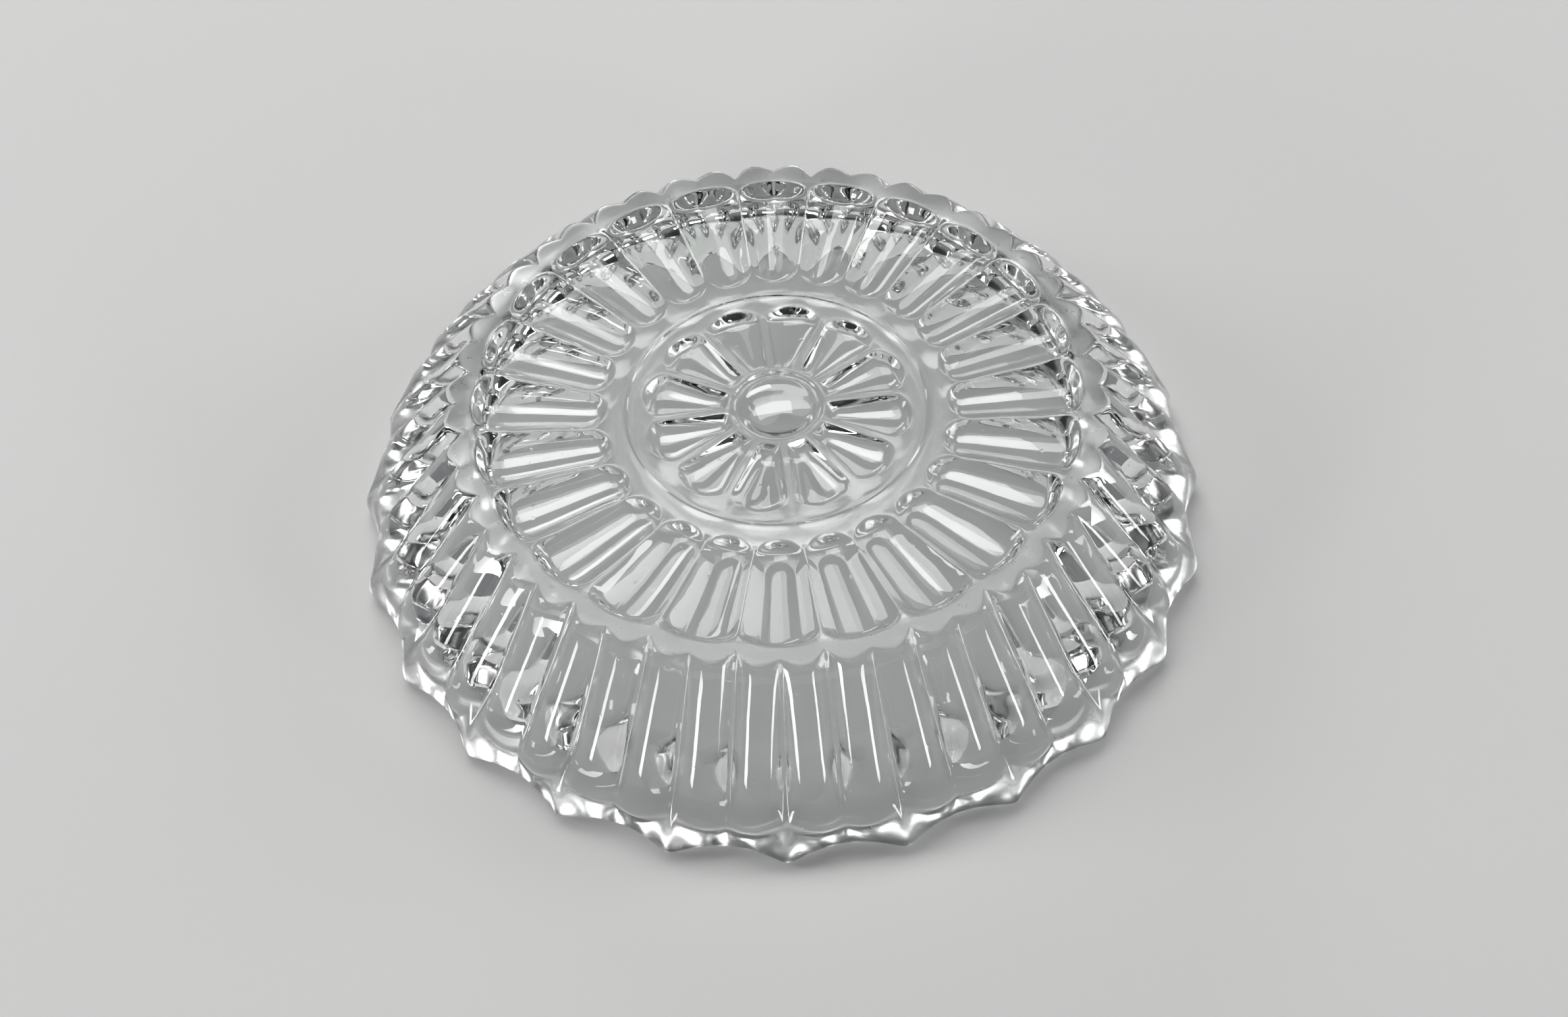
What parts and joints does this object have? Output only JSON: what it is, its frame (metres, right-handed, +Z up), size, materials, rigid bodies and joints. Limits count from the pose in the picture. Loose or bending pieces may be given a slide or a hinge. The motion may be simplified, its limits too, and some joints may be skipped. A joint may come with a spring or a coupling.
{
  "type": "pressed glass dish",
  "caption": "Shallow round clear pressed-glass dish with a scalloped rim, ribbed wall and petal-and-star base, shown standing on its rim with the base up; listed as a flower frog",
  "frame": {"origin": "on the supporting surface, at the centre of the rim, with the dish standing rim down", "axes": "+Z up, out of the decorated base, on the axis of symmetry; a rim point faces -Y and another faces +X"},
  "size_m": [0.16, 0.16, 0.0313],
  "materials": {
    "clear_glass": "polished clear pressed glass"
  },
  "bodies": {
    "root": {"glass_dish": "clear_glass"}
  },
  "joints": []
}
